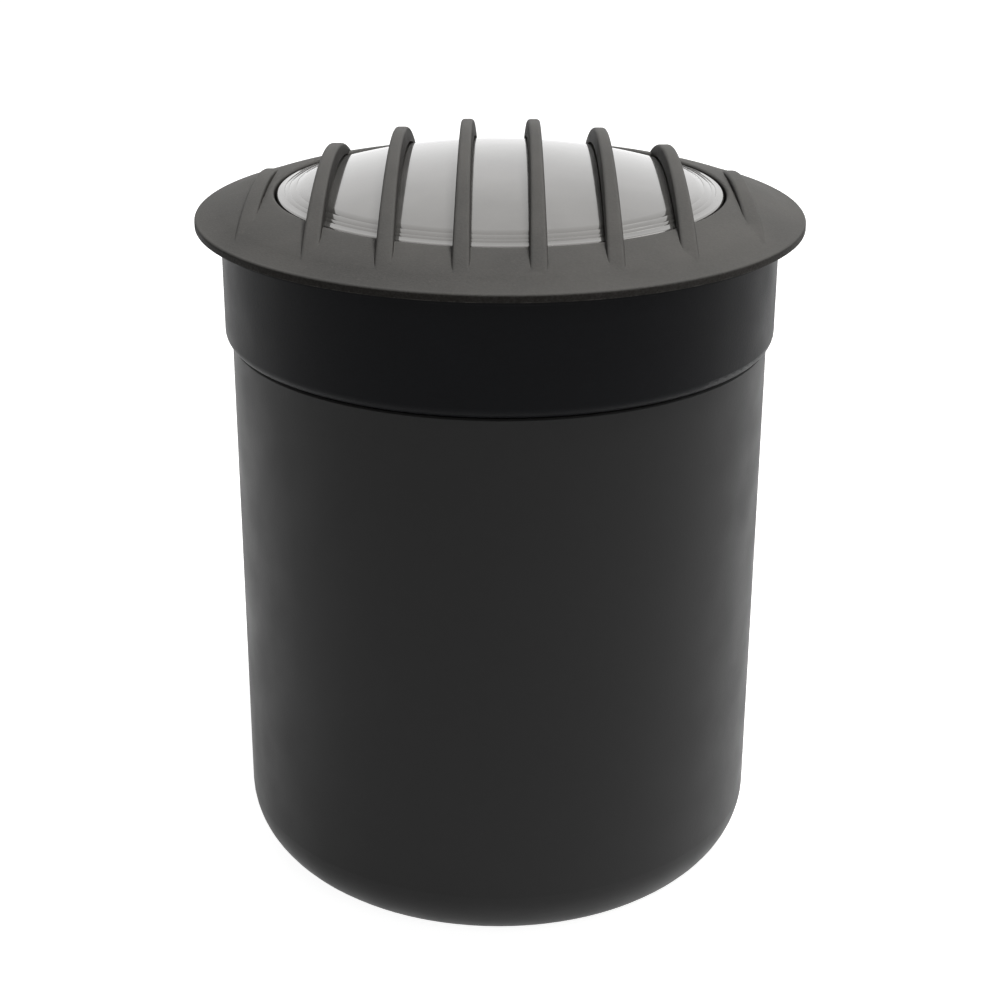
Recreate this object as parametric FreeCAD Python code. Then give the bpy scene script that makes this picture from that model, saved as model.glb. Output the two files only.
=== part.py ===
import FreeCAD, Part
import math
import os

# In-ground well light: a buried can with a stepped neck, a lift-off head with a ribbed domed
# grille over a glass lens, and a tilting, turning sealed-beam lamp inside.
# Millimetres. The origin is the centre of the can's foot, +Z is up, the grille ribs run along Y.

os.makedirs("parts", exist_ok=True)
V = FreeCAD.Vector
UP = V(0, 0, 1)
ALONG_X = V(1, 0, 0)
ALONG_Y = V(0, 1, 0)

# ---------------------------------------------------------------- clearances
running_gap = 0.3          # between pieces that move past each other
fit_gap = 0.05             # between pieces seated in one another
hole_gap = 0.2             # screw clearance, on the radius

# ---------------------------------------------------------------- lamp: everything is built round it
lamp_radius = 55.6
lamp_rim = 2.5
lamp_face_rim = 2.8
lamp_face_rise = 5.0
lamp_face_wall = 2.2
lamp_face_flat = 3.4       # width of the flat band that the clips hold
lamp_depth = 38.0
lamp_back_radius = 17.0
lamp_wall = 2.0
lamp_belly_inset = 13.1    # from the lamp's radius in to the reflector's belly
lamp_belly_depth = 22.0
terminal_place = 8.0
terminal_post = 3.0
terminal_height = 8.0
terminal_washer = 4.6
terminal_washer_height = 1.2

# ---------------------------------------------------------------- holder ring and clips
holder_wall = 3.3
holder_shelf = 3.0
holder_shelf_width = 3.0
holder_above_pivot = 4.1
holder_below_pivot = 4.5
holder_boss_radius = 5.5
clip_count = 3
first_clip = 90.0          # degrees round from +X, so that no clip lies at a tilt pivot
clip_width = 10.0
clip_thickness = 1.4
clip_lap = 3.0
clip_screw_radius = 1.5
clip_screw_head = 2.8      # across the flats, halved, as for every hexagon here
clip_screw_head_height = 1.8
clip_screw_reach = 6.0
clip_ear_radius = 3.4

# ---------------------------------------------------------------- yoke and tilt knobs
yoke_plate = 2.0
yoke_width = 16.0
yoke_beside_holder = 1.3   # from the holder ring out to each arm
yoke_bend = 5.0
pivot_height = 76.5        # tilt axis above the yoke's base
tilt_below_shoulder = 15.2
knob_radius = 6.5
knob_length = 5.4
knob_stud_radius = 2.4
knob_notches = 8
knob_notch_radius = 1.3
knob_chamfer = 0.8
knob_turning_room = 6.3    # from the knobs' ends to the neck

# ---------------------------------------------------------------- bridge strap and swivel
post_beside_recess = 1.5   # from the drawn-up underside's wall to each post
post_radius = 5.0
post_pilot_depth = 12.0
strap_width = 18.0
strap_thickness = 3.0
strap_past_post = 7.0
strap_screw_radius = 2.5
strap_screw_head = 4.2
strap_screw_head_height = 2.4
strap_screw_reach = 10.0
pivot_bolt_radius = 3.0
pivot_bolt_head = 5.0
pivot_bolt_head_height = 4.0
pivot_spacer_radius = 8.0
pivot_spacer = 3.7
pivot_washer_radius = 9.0
pivot_washer = 1.2
lock_nut = 6.0
bolt_above_nut = 2.0

# ---------------------------------------------------------------- the can
can_height = 166.7         # foot to shoulder
can_wall = 3.0
can_corner = 18.7          # rounded lower corner
recess_radius = 45.0       # the underside is drawn up here, so the cable gland stays flush
recess_depth = 16.0
neck_wall = 3.0
neck_taper_height = 4.0    # inside, from the can's bore to the neck's
neck_lead_in = 0.6
shoulder_width = 2.1
shoulder_chamfer = 0.5
ring_section = 1.0         # radius of the O-ring's section
ring_height_in_neck = 15.3

# ---------------------------------------------------------------- the collar under the cover
collar_wall = 3.8
collar_skirt = 32.8        # from its lip up to its flange
collar_lip_round = 3.0
flange_overhang = 4.9
collar_flange = 1.5
collar_plate = 2.5         # inner plate that carries the lens
lens_seat_depth = 2.3      # plate face below the collar's top
room_over_neck = 6.0       # from the can's neck up to the plate

# ---------------------------------------------------------------- head screws
head_screw_count = 6
first_head_screw = 30.0    # degrees round from +X, so that none lies in line with the ribs
head_screw_inset = 3.2     # from the collar's bore
head_screw_radius = 1.8
head_screw_reach = 7.5     # above the collar plate's underside
head_screw_head = 2.3
head_screw_head_height = 2.6
boss_radius = 3.6
boss_in_roof = 1.0         # how far a boss runs into the brim above it

# ---------------------------------------------------------------- lens and gaskets
lens_to_screws = 5.6       # from the lens's edge to the head screws' centres
lens_bearing = 5.0         # width that rests on the collar's plate
lens_flange_width = 3.8    # outside the lens's raised part
lens_band = 3.8            # flat ring round the dome
lens_groove = 0.5          # fine line round the dome's foot, its width and depth
lens_edge_round = 1.6
lower_gasket = 2.0
lens_flange = 4.0
upper_gasket = 1.5
lens_wall = 4.0
lens_hollow_inset = 2.0    # from the dome's edge in to the hollow's
lens_step = 5.5            # the dome's edge above the flange
lens_rise = 15.0           # the crown above the flange
gasket_band = 4.5

# ---------------------------------------------------------------- cover: brim and ribs
rim_overhang = 2.5         # past the collar's flange
rim_thickness = 2.2
rim_round = 0.8
aperture_round = 1.0
brim_height = 6.2          # aperture edge above the rim
brim_bend_inset = 8.0      # the brim's bulge turns into its hollow here, from the rim
brim_bend_height = 2.5
brim_crown_swell = 0.35    # the brim's inner part bulges by this
brim_outer_sag = 0.15      # and its outer part is hollow by this
rib_count = 8
rib_spacing = 20.07
rib_depth = 5.9            # at the middle of the cover
rib_top_width = 3.6
rib_foot_width = 4.9
rib_edge_round = 0.7
rib_over_lens = 1.0
rib_foot_inset = 9.6       # where the ribs' crown runs out on the brim, from the rim
rib_foot_height = 3.1
rib_end_inset = 5.0
pocket_wall = 2.0          # wall between the lens pocket and the screw channel
channel_inset = 7.0        # screw channel under the brim, from the rim
channel_roof_inner = 3.7
channel_roof_outer = 0.9

# ---------------------------------------------------------------- cable gland and terminal block
gland_bore = 4.2
gland_seal_wall = 2.4
gland_nose_wall = 2.0
gland_nose = 8.0           # thread that the cap screws on
gland_thread_radius = 9.0
gland_hex = 12.5
gland_hex_height = 4.0
gland_cap_height = 9.0
gland_cap_wall = 2.2
gland_cap_notches = 12
gland_cap_notch = 0.7
gland_nut = 4.0
gland_washer = 1.5
block_length = 26.0
block_width = 18.0
block_height = 13.0
block_place = 28.0
block_notch = 4.0
block_ways = 2
block_slot_depth = 4.3     # between the ways
block_screw_inset = 4.3    # from each end of the block
block_screw_reach = 4.5    # into the block
block_screw_radius = 1.6
block_screw_head = 2.8
block_screw_head_height = 1.8

# ---------------------------------------------------------------- radii that follow, lamp to rim
holder_bore = lamp_radius + running_gap
holder_radius = holder_bore + holder_wall
yoke_inside = holder_radius + yoke_beside_holder
yoke_outside = yoke_inside + yoke_plate
boss_end = yoke_inside - running_gap
knob_start = yoke_outside + running_gap
neck_bore = knob_start + knob_length + knob_turning_room
neck_radius = neck_bore + neck_wall
can_radius = neck_radius + shoulder_width
can_bore = can_radius - can_wall
collar_bore = neck_radius + running_gap
collar_radius = collar_bore + collar_wall
collar_flange_radius = collar_radius + flange_overhang
rim_radius = collar_flange_radius + rim_overhang
head_screw_place = collar_bore - head_screw_inset
lens_radius = head_screw_place - lens_to_screws
lens_pocket = lens_radius + 2 * running_gap
lens_step_radius = lens_radius - lens_flange_width
lens_dome_radius = lens_step_radius - lens_band
aperture_radius = lens_step_radius + 2 * running_gap
collar_plate_bore = lens_radius - lens_bearing
brim_bend_radius = rim_radius - brim_bend_inset
rib_foot_radius = rim_radius - rib_foot_inset
rib_end_radius = rim_radius - rib_end_inset
channel_inner = lens_pocket + pocket_wall
channel_outer = rim_radius - channel_inset
post_place = recess_radius + can_wall + post_beside_recess + post_radius
strap_end = post_place + strap_past_post
gland_nose_radius = gland_bore + gland_seal_wall + gland_nose_wall
gland_cap_radius = gland_nose_radius + gland_cap_wall
block_screw_spread = block_length / 2 - block_screw_inset
block_screw_places = (block_place - block_screw_spread, block_place + block_screw_spread)

# ---------------------------------------------------------------- heights that follow
shoulder_z = can_height
can_floor = recess_depth + can_wall
collar_bottom = shoulder_z + running_gap
flange_underside = collar_bottom + collar_skirt
collar_top = flange_underside + collar_flange
plate_top = collar_top - lens_seat_depth
plate_bottom = plate_top - collar_plate
neck_top = plate_bottom - room_over_neck
lens_bottom = plate_top + lower_gasket
lens_flange_top = lens_bottom + lens_flange
cover_shelf = lens_flange_top + upper_gasket
rim_top = collar_top + rim_thickness
brim_top = rim_top + brim_height
lens_crown = lens_flange_top + lens_rise
rib_crown = lens_crown + rib_over_lens + rib_depth
tilt_z = shoulder_z - tilt_below_shoulder
yoke_base = tilt_z - pivot_height
yoke_base_top = yoke_base + yoke_plate
strap_top = yoke_base - running_gap - pivot_spacer
strap_bottom = strap_top - strap_thickness
holder_bottom = tilt_z - holder_below_pivot
holder_top = tilt_z + holder_above_pivot
lamp_seat = holder_bottom + holder_shelf
lamp_band_top = lamp_seat + lamp_rim + lamp_face_rim
clip_bottom = max(lamp_band_top, holder_top)
lamp_back = lamp_seat - lamp_depth
gland_flange_bottom = recess_depth - gland_hex_height
gland_inside_top = can_floor + gland_washer + gland_nut


# ---------------------------------------------------------------- helpers
def closed_wire(start, *steps):
    """Wire in the XZ plane. A step is a point, or a pair (point passed, end point) for an arc."""
    here = V(start[0], 0, start[1])
    first = here
    edges = []
    for step in steps:
        if isinstance(step[0], tuple):
            through = V(step[0][0], 0, step[0][1])
            end = V(step[1][0], 0, step[1][1])
            edges.append(Part.Arc(here, through, end).toShape())
        else:
            end = V(step[0], 0, step[1])
            edges.append(Part.LineSegment(here, end).toShape())
        here = end
    if here.distanceToPoint(first) > 1e-6:
        edges.append(Part.LineSegment(here, first).toShape())
    return Part.Wire(edges)


def turned(start, *steps):
    """Solid of revolution about Z from an outline given as (radius, height)."""
    face = Part.Face(closed_wire(start, *steps))
    return face.revolve(V(0, 0, 0), UP, 360)


def quarter(center, radius, from_angle, to_angle):
    """Arc step about a centre, for closed_wire: its middle and end points."""
    middle = math.radians((from_angle + to_angle) / 2)
    end = math.radians(to_angle)
    through = (center[0] + radius * math.cos(middle), center[1] + radius * math.sin(middle))
    last = (center[0] + radius * math.cos(end), center[1] + radius * math.sin(end))
    return (through, last)


def tube(outer, inner, bottom, height):
    ring = Part.makeCylinder(outer, height, V(0, 0, bottom))
    return ring.cut(Part.makeCylinder(inner, height, V(0, 0, bottom)))


def prism(corners, across_flats, bottom, height):
    """Upright prism with flat sides, such as a hexagon head."""
    corner = across_flats / math.cos(math.pi / corners)
    points = []
    for index in range(corners + 1):
        angle = 2 * math.pi * index / corners
        points.append(V(corner * math.cos(angle), corner * math.sin(angle), bottom))
    return Part.Face(Part.makePolygon(points)).extrude(V(0, 0, height))


def placed(shape, x=0.0, y=0.0, z=0.0):
    copy = shape.copy()
    copy.translate(V(x, y, z))
    return copy


def around(shape, count, start_angle=0.0):
    """Copies of a shape about Z, evenly spaced."""
    copies = []
    for index in range(count):
        copy = shape.copy()
        copy.rotate(V(0, 0, 0), UP, start_angle + 360.0 * index / count)
        copies.append(copy)
    return copies


def fused(shapes):
    result = shapes[0]
    for shape in shapes[1:]:
        result = result.fuse(shape)
    return result.removeSplitter()


def sphere_radius(base_radius, rise):
    """Radius of the sphere whose cap has this base radius and rise."""
    return (base_radius ** 2 + rise ** 2) / (2 * rise)


def save(name, shapes):
    solids = shapes if isinstance(shapes, list) else [shapes]
    flat = [solid for shape in solids for solid in shape.Solids]
    shape = flat[0] if len(flat) == 1 else Part.makeCompound(flat)
    assert shape.isValid(), name
    shape.exportStep("parts/" + name + ".step")
    print(name, len(flat), "solid", round(shape.Volume / 1000, 2), "cm3")


# ---------------------------------------------------------------- can
def well_housing():
    inner_corner = can_corner - can_wall
    corner_place = can_radius - can_corner
    groove_z = shoulder_z + ring_height_in_neck
    groove_floor = neck_radius - 2 * ring_section
    groove_half = ring_section + running_gap
    recess_wall = recess_radius + can_wall
    can = turned(
        (recess_radius, 0), (corner_place, 0),
        quarter((corner_place, can_corner), can_corner, -90, 0),
        (can_radius, shoulder_z - shoulder_chamfer), (can_radius - shoulder_chamfer, shoulder_z),
        (neck_radius, shoulder_z),
        (neck_radius, groove_z - groove_half), (groove_floor, groove_z - groove_half),
        (groove_floor, groove_z + groove_half), (neck_radius, groove_z + groove_half),
        (neck_radius, neck_top - neck_lead_in), (neck_radius - neck_lead_in, neck_top),
        (neck_bore, neck_top), (neck_bore, shoulder_z), (can_bore, shoulder_z - neck_taper_height),
        (can_bore, can_corner),
        quarter((corner_place, can_corner), inner_corner, 0, -90),
        (recess_wall, can_wall), (recess_wall, can_floor),
        (0, can_floor), (0, recess_depth), (recess_radius, recess_depth))
    posts = []
    for side in (-1, 1):
        post = Part.makeCylinder(post_radius, strap_bottom - can_wall / 2, V(0, 0, can_wall / 2))
        pilot = Part.makeCylinder(strap_screw_radius + fit_gap, post_pilot_depth,
                                  V(0, 0, strap_bottom - post_pilot_depth))
        posts.append(placed(post.cut(pilot), side * post_place))
    gland_hole = Part.makeCylinder(gland_thread_radius + fit_gap, can_wall, V(0, 0, recess_depth))
    return fused([can] + posts).cut(gland_hole)


def neck_o_ring():
    return Part.makeTorus(neck_radius - ring_section + fit_gap, ring_section,
                          V(0, 0, shoulder_z + ring_height_in_neck))


# ---------------------------------------------------------------- head
def collar():
    lip = collar_radius - collar_lip_round
    body = turned(
        (collar_plate_bore, plate_bottom), (collar_bore, plate_bottom),
        (collar_bore, collar_bottom), (lip, collar_bottom),
        quarter((lip, collar_bottom + collar_lip_round), collar_lip_round, -90, 0),
        (collar_radius, flange_underside), (collar_flange_radius, flange_underside),
        (collar_flange_radius, collar_top), (lens_pocket, collar_top),
        (lens_pocket, plate_top), (collar_plate_bore, plate_top))
    hole = Part.makeCylinder(head_screw_radius + hole_gap, collar_top - plate_bottom,
                             V(head_screw_place, 0, plate_bottom))
    for cut in around(hole, head_screw_count, first_head_screw):
        body = body.cut(cut)
    return body


def lens_dome():
    """Centre height and radius of the sphere that the lens's outer face lies on."""
    radius = sphere_radius(lens_dome_radius, lens_rise - lens_step)
    return lens_crown - radius, radius


def lens():
    center_z, radius = lens_dome()
    half = lens_dome_radius / 2
    outer_mid = (half, center_z + math.sqrt(radius ** 2 - half ** 2))
    dome_edge_z = lens_flange_top + lens_step
    inner = radius - lens_wall
    inner_edge = lens_dome_radius - lens_hollow_inset
    inner_edge_z = center_z + math.sqrt(inner ** 2 - inner_edge ** 2)
    inner_mid = (inner_edge / 2, center_z + math.sqrt(inner ** 2 - inner_edge ** 2 / 4))
    step_round = (lens_step_radius - lens_edge_round, dome_edge_z - lens_edge_round)
    return turned(
        (0, lens_crown), (outer_mid, (lens_dome_radius, dome_edge_z)),
        (lens_dome_radius, dome_edge_z - lens_groove),
        (lens_dome_radius + lens_groove, dome_edge_z - lens_groove),
        (lens_dome_radius + lens_groove, dome_edge_z),
        (step_round[0], dome_edge_z),
        quarter(step_round, lens_edge_round, 90, 0),
        (lens_step_radius, lens_flange_top), (lens_radius, lens_flange_top),
        (lens_radius, lens_bottom), (inner_edge, lens_bottom), (inner_edge, inner_edge_z),
        (inner_mid, (0, lens_crown - lens_wall)))


def cover_brim():
    swell_r = (aperture_radius + aperture_round + brim_bend_radius) / 2
    bend_z = rim_top + brim_bend_height
    swell_z = (brim_top + bend_z) / 2 + brim_crown_swell
    rim_edge = rim_radius - rim_round
    sag_r = (brim_bend_radius + rim_edge) / 2
    sag_z = (bend_z + rim_top) / 2 - brim_outer_sag
    edge_center = (aperture_radius + aperture_round, brim_top - aperture_round)
    brim = turned(
        (aperture_radius, cover_shelf), (aperture_radius, brim_top - aperture_round),
        quarter(edge_center, aperture_round, 180, 90),
        ((swell_r, swell_z), (brim_bend_radius, bend_z)),
        ((sag_r, sag_z), (rim_edge, rim_top)),
        quarter((rim_edge, rim_top - rim_round), rim_round, 90, 0),
        (rim_radius, collar_top), (channel_outer, collar_top),
        (channel_outer, collar_top + channel_roof_outer),
        (channel_inner, collar_top + channel_roof_inner), (channel_inner, collar_top),
        (lens_pocket, collar_top), (lens_pocket, cover_shelf))
    boss = Part.makeCylinder(boss_radius, channel_roof_inner + boss_in_roof,
                             V(head_screw_place, 0, collar_top))
    return fused([brim] + around(boss, head_screw_count, first_head_screw))


def ball(radius, center_z):
    """Sphere whose seam lies between the two middle ribs."""
    sphere = Part.makeSphere(radius)
    sphere.rotate(V(0, 0, 0), UP, 90)
    return placed(sphere, 0, 0, center_z)


def cover_ribs():
    """Drafted bars along Y under one spherical crown, standing clear of the lens."""
    foot_z = rim_top + rib_foot_height
    crown_radius = sphere_radius(rib_foot_radius, rib_crown - foot_z)
    crown_ball = ball(crown_radius, rib_crown - crown_radius)
    center_z, radius = lens_dome()
    lens_ball = ball(radius + rib_over_lens, center_z)
    limit = Part.makeCylinder(rib_end_radius, rib_crown, V(0, 0, 0))
    foot = rim_top
    over = rib_crown + rib_depth
    slope = (rib_foot_width - rib_top_width) / 2 / (rib_crown - foot_z)
    half_foot = rib_foot_width / 2 + slope * rib_foot_height
    half_top = rib_top_width / 2 - slope * rib_depth
    ribs = []
    for index in range(rib_count):
        x = (index - (rib_count - 1) / 2) * rib_spacing
        reach = math.sqrt(rib_end_radius ** 2 - x ** 2)
        bar = Part.Face(closed_wire((x - half_foot, foot), (x + half_foot, foot),
                                    (x + half_top, over), (x - half_top, over)))
        bar = bar.extrude(V(0, 2 * reach, 0))
        bar.translate(V(0, -reach, 0))
        bar = bar.common(crown_ball).cut(lens_ball)
        bar = bar.common(limit)
        center = V(0, 0, rib_crown - crown_radius)
        crests = [edge for edge in bar.Edges if on_sphere(edge, center, crown_radius)
                  and edge.Length > reach]
        ribs.append(bar.Solids[0].makeFillet(rib_edge_round, crests))
    return ribs


def on_sphere(edge, center, radius):
    middle = edge.valueAt((edge.FirstParameter + edge.LastParameter) / 2)
    return abs(middle.distanceToPoint(center) - radius) < 0.01


def cover_grille():
    cover = fused([cover_brim()] + cover_ribs())
    pilot_top = plate_bottom + head_screw_reach + fit_gap
    pilot = Part.makeCylinder(head_screw_radius + fit_gap, pilot_top - collar_top,
                              V(head_screw_place, 0, collar_top))
    for cut in around(pilot, head_screw_count, first_head_screw):
        cover = cover.cut(cut)
    return cover


def screw(radius, reach, across_flats, head_height):
    """Hexagon head screw pointing up, with its head below z = 0."""
    head = prism(6, across_flats, -head_height, head_height)
    return fused([head, Part.makeCylinder(radius, reach)])


def screw_down(radius, reach, across_flats, head_height):
    """The same screw pointing down, with its head above z = 0."""
    turned_over = screw(radius, reach, across_flats, head_height)
    turned_over.rotate(V(0, 0, 0), ALONG_X, 180)
    return turned_over


def head_screws():
    one = screw(head_screw_radius, head_screw_reach, head_screw_head, head_screw_head_height)
    return around(placed(one, head_screw_place, 0, plate_bottom), head_screw_count, first_head_screw)


# ---------------------------------------------------------------- bridge and swivel
def bridge_strap():
    half = strap_width / 2
    straight = strap_end - half
    strap = Part.makeBox(2 * straight, strap_width, strap_thickness, V(-straight, -half, strap_bottom))
    ends = [Part.makeCylinder(half, strap_thickness, V(side * straight, 0, strap_bottom))
            for side in (-1, 1)]
    strap = fused([strap] + ends)
    holes = [(side * post_place, strap_screw_radius + hole_gap) for side in (-1, 1)]
    holes.append((0, pivot_bolt_radius + fit_gap))
    holes += [(x, block_screw_radius + hole_gap) for x in block_screw_places]
    for x, radius in holes:
        strap = strap.cut(Part.makeCylinder(radius, strap_thickness, V(x, 0, strap_bottom)))
    return strap


def bridge_screws():
    reach = strap_thickness + strap_screw_reach
    one = screw_down(strap_screw_radius, reach, strap_screw_head, strap_screw_head_height)
    return [placed(one, side * post_place, 0, strap_top) for side in (-1, 1)]


def swivel_bolt():
    nut_top = yoke_base_top + running_gap + pivot_washer + lock_nut
    head = prism(6, pivot_bolt_head, strap_bottom - pivot_bolt_head_height, pivot_bolt_head_height)
    shank = Part.makeCylinder(pivot_bolt_radius, nut_top + bolt_above_nut - strap_bottom,
                              V(0, 0, strap_bottom))
    return fused([head, shank])


def swivel_spacer():
    return tube(pivot_spacer_radius, pivot_bolt_radius + fit_gap, strap_top, pivot_spacer)


def swivel_washer():
    return tube(pivot_washer_radius, pivot_bolt_radius + fit_gap,
                yoke_base_top + running_gap, pivot_washer)


def swivel_lock_nut():
    bottom = yoke_base_top + running_gap + pivot_washer
    bore = Part.makeCylinder(pivot_bolt_radius + fit_gap, lock_nut, V(0, 0, bottom))
    return prism(6, pivot_bolt_head, bottom, lock_nut).cut(bore)


def yoke_bracket():
    half = yoke_width / 2
    inner_bend = yoke_bend - yoke_plate
    bend_place = yoke_outside - yoke_bend
    bend_z = yoke_base + yoke_bend
    section = Part.Face(closed_wire(
        (-yoke_outside, tilt_z), (-yoke_outside, bend_z),
        quarter((-bend_place, bend_z), yoke_bend, 180, 270),
        (bend_place, yoke_base),
        quarter((bend_place, bend_z), yoke_bend, -90, 0),
        (yoke_outside, tilt_z), (yoke_inside, tilt_z), (yoke_inside, bend_z),
        quarter((bend_place, bend_z), inner_bend, 0, -90),
        (-bend_place, yoke_base_top),
        quarter((-bend_place, bend_z), inner_bend, 270, 180),
        (-yoke_inside, tilt_z)))
    bracket = section.extrude(V(0, yoke_width, 0))
    bracket.translate(V(0, -half, 0))
    tops = [Part.makeCylinder(half, yoke_plate, V(x, 0, tilt_z), ALONG_X)
            for x in (-yoke_outside, yoke_inside)]
    bracket = fused([bracket] + tops)
    stud_hole = Part.makeCylinder(knob_stud_radius + running_gap, 2 * yoke_outside,
                                  V(-yoke_outside, 0, tilt_z), ALONG_X)
    bolt_hole = Part.makeCylinder(pivot_bolt_radius + running_gap, yoke_plate, V(0, 0, yoke_base))
    return bracket.cut(stud_hole).cut(bolt_hole)


# ---------------------------------------------------------------- lamp
def lamp_holder_ring():
    ring = turned(
        (holder_bore - holder_shelf_width, holder_bottom), (holder_radius, holder_bottom),
        (holder_radius, holder_top), (holder_bore, holder_top),
        (holder_bore, lamp_seat), (holder_bore - holder_shelf_width, lamp_seat))
    additions = []
    for x in (-boss_end, holder_bore):
        additions.append(Part.makeCylinder(holder_boss_radius, boss_end - holder_bore,
                                           V(x, 0, tilt_z), ALONG_X))
    ear = Part.makeCylinder(clip_ear_radius, holder_top - holder_bottom,
                            V(holder_radius, 0, holder_bottom))
    additions += around(ear, clip_count, first_clip)
    ring = fused([ring] + additions)
    boss_top = tilt_z + holder_boss_radius
    ring = ring.cut(Part.makeCylinder(holder_bore, boss_top - lamp_seat, V(0, 0, lamp_seat)))
    stud_hole = Part.makeCylinder(knob_stud_radius + running_gap, 2 * boss_end,
                                  V(-boss_end, 0, tilt_z), ALONG_X)
    pilot = Part.makeCylinder(clip_screw_radius + fit_gap, clip_screw_reach,
                              V(holder_radius, 0, holder_top - clip_screw_reach))
    ring = ring.cut(stud_hole)
    for cut in around(pilot, clip_count, first_clip):
        ring = ring.cut(cut)
    return ring


def lamp_shell():
    rim_face = lamp_seat + lamp_rim
    mouth = holder_bore - holder_shelf_width - running_gap
    belly = lamp_radius - lamp_belly_inset
    belly_z = lamp_seat - lamp_belly_depth
    return turned(
        (0, lamp_back), (lamp_back_radius, lamp_back),
        ((belly, belly_z), (mouth, lamp_seat)),
        (lamp_radius, lamp_seat), (lamp_radius, rim_face), (mouth - lamp_wall, rim_face),
        ((belly - lamp_wall, belly_z + lamp_wall / 2),
         (lamp_back_radius - lamp_wall / 2, lamp_back + lamp_wall)),
        (0, lamp_back + lamp_wall))


def lamp_face_lens():
    bottom = lamp_seat + lamp_rim
    dome_r = lamp_radius - lamp_face_flat
    crown = lamp_band_top + lamp_face_rise
    radius = sphere_radius(dome_r, lamp_face_rise)
    center_z = crown - radius
    outer_mid = (dome_r / 2, center_z + math.sqrt(radius ** 2 - dome_r ** 2 / 4))
    inner = radius - lamp_face_wall
    inner_r = dome_r - lamp_face_wall
    inner_z = center_z + math.sqrt(inner ** 2 - inner_r ** 2)
    inner_mid = (inner_r / 2, center_z + math.sqrt(inner ** 2 - inner_r ** 2 / 4))
    return turned(
        (0, crown), (outer_mid, (dome_r, lamp_band_top)),
        (lamp_radius, lamp_band_top), (lamp_radius, bottom), (inner_r, bottom), (inner_r, inner_z),
        (inner_mid, (0, crown - lamp_face_wall)))


def lamp_clips():
    inner = lamp_radius - clip_lap
    plate = Part.makeBox(holder_radius - inner, clip_width, clip_thickness,
                         V(inner, -clip_width / 2, clip_bottom))
    end = Part.makeCylinder(clip_width / 2, clip_thickness, V(holder_radius, 0, clip_bottom))
    hole = Part.makeCylinder(clip_screw_radius + hole_gap, clip_thickness,
                             V(holder_radius, 0, clip_bottom))
    trimmed = fused([plate, end]).cut(hole)
    return around(trimmed, clip_count, first_clip)


def clip_screws():
    reach = clip_bottom + clip_thickness - holder_top + clip_screw_reach - fit_gap
    one = screw_down(clip_screw_radius, reach, clip_screw_head, clip_screw_head_height)
    return around(placed(one, holder_radius, 0, clip_bottom + clip_thickness), clip_count, first_clip)


def lamp_terminals():
    solids = []
    for side in (-1, 1):
        post = Part.makeCylinder(terminal_post, terminal_height, V(0, 0, lamp_back - terminal_height))
        washer = Part.makeCylinder(terminal_washer, terminal_washer_height,
                                   V(0, 0, lamp_back - terminal_height / 2))
        solids.append(placed(fused([post, washer]), 0, side * terminal_place))
    return solids


# ---------------------------------------------------------------- knobs
def tilt_knob(side):
    """Notched knob on its threaded stud, on the +X side for side 1."""
    grip = Part.makeCylinder(knob_radius, knob_length, V(knob_start, 0, 0), ALONG_X)
    rims = [edge for edge in grip.Edges if isinstance(edge.Curve, Part.Circle)]
    grip = grip.makeChamfer(knob_chamfer, rims)
    for index in range(knob_notches):
        angle = 2 * math.pi * index / knob_notches
        notch = Part.makeCylinder(knob_notch_radius, knob_length + 2 * knob_chamfer,
                                  V(knob_start - knob_chamfer, knob_radius * math.cos(angle),
                                    knob_radius * math.sin(angle)), ALONG_X)
        grip = grip.cut(notch)
    stud_start = holder_bore + running_gap
    stud = Part.makeCylinder(knob_stud_radius, knob_start + knob_chamfer - stud_start,
                             V(stud_start, 0, 0), ALONG_X)
    knob = fused([grip, stud])
    if side < 0:
        knob.rotate(V(0, 0, 0), UP, 180)
    return placed(knob, 0, 0, tilt_z)


# ---------------------------------------------------------------- gland and terminal block
def gland_body():
    hexagon = prism(6, gland_hex, gland_flange_bottom, gland_hex_height)
    thread = Part.makeCylinder(gland_thread_radius, gland_inside_top - recess_depth, V(0, 0, recess_depth))
    nose = Part.makeCylinder(gland_nose_radius, gland_nose, V(0, 0, gland_flange_bottom - gland_nose))
    seal_pocket = Part.makeCylinder(gland_bore + gland_seal_wall + fit_gap, gland_nose,
                                    V(0, 0, gland_flange_bottom - gland_nose))
    bore = Part.makeCylinder(gland_bore, gland_inside_top, V(0, 0, 0))
    return fused([hexagon, thread, nose]).cut(seal_pocket).cut(bore)


def gland_seal():
    return tube(gland_bore + gland_seal_wall, gland_bore, gland_flange_bottom - gland_nose, gland_nose)


def gland_cap():
    top = gland_flange_bottom - running_gap
    bottom = top - gland_cap_height
    cap_inner = gland_nose_radius + fit_gap
    nose_end = gland_flange_bottom - gland_nose
    cap = turned((gland_bore, bottom), (gland_cap_radius, bottom), (gland_cap_radius, top),
                 (cap_inner, top), (cap_inner, nose_end), (gland_bore, nose_end))
    notch = Part.makeCylinder(gland_cap_notch, gland_cap_height, V(gland_cap_radius, 0, bottom))
    for cut in around(notch, gland_cap_notches):
        cap = cap.cut(cut)
    return cap


def gland_washer_ring():
    return tube(gland_hex, gland_thread_radius + fit_gap, can_floor, gland_washer)


def gland_locknut():
    bottom = can_floor + gland_washer
    bore = Part.makeCylinder(gland_thread_radius + fit_gap, gland_nut, V(0, 0, bottom))
    return prism(6, gland_hex, bottom, gland_nut).cut(bore)


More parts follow.
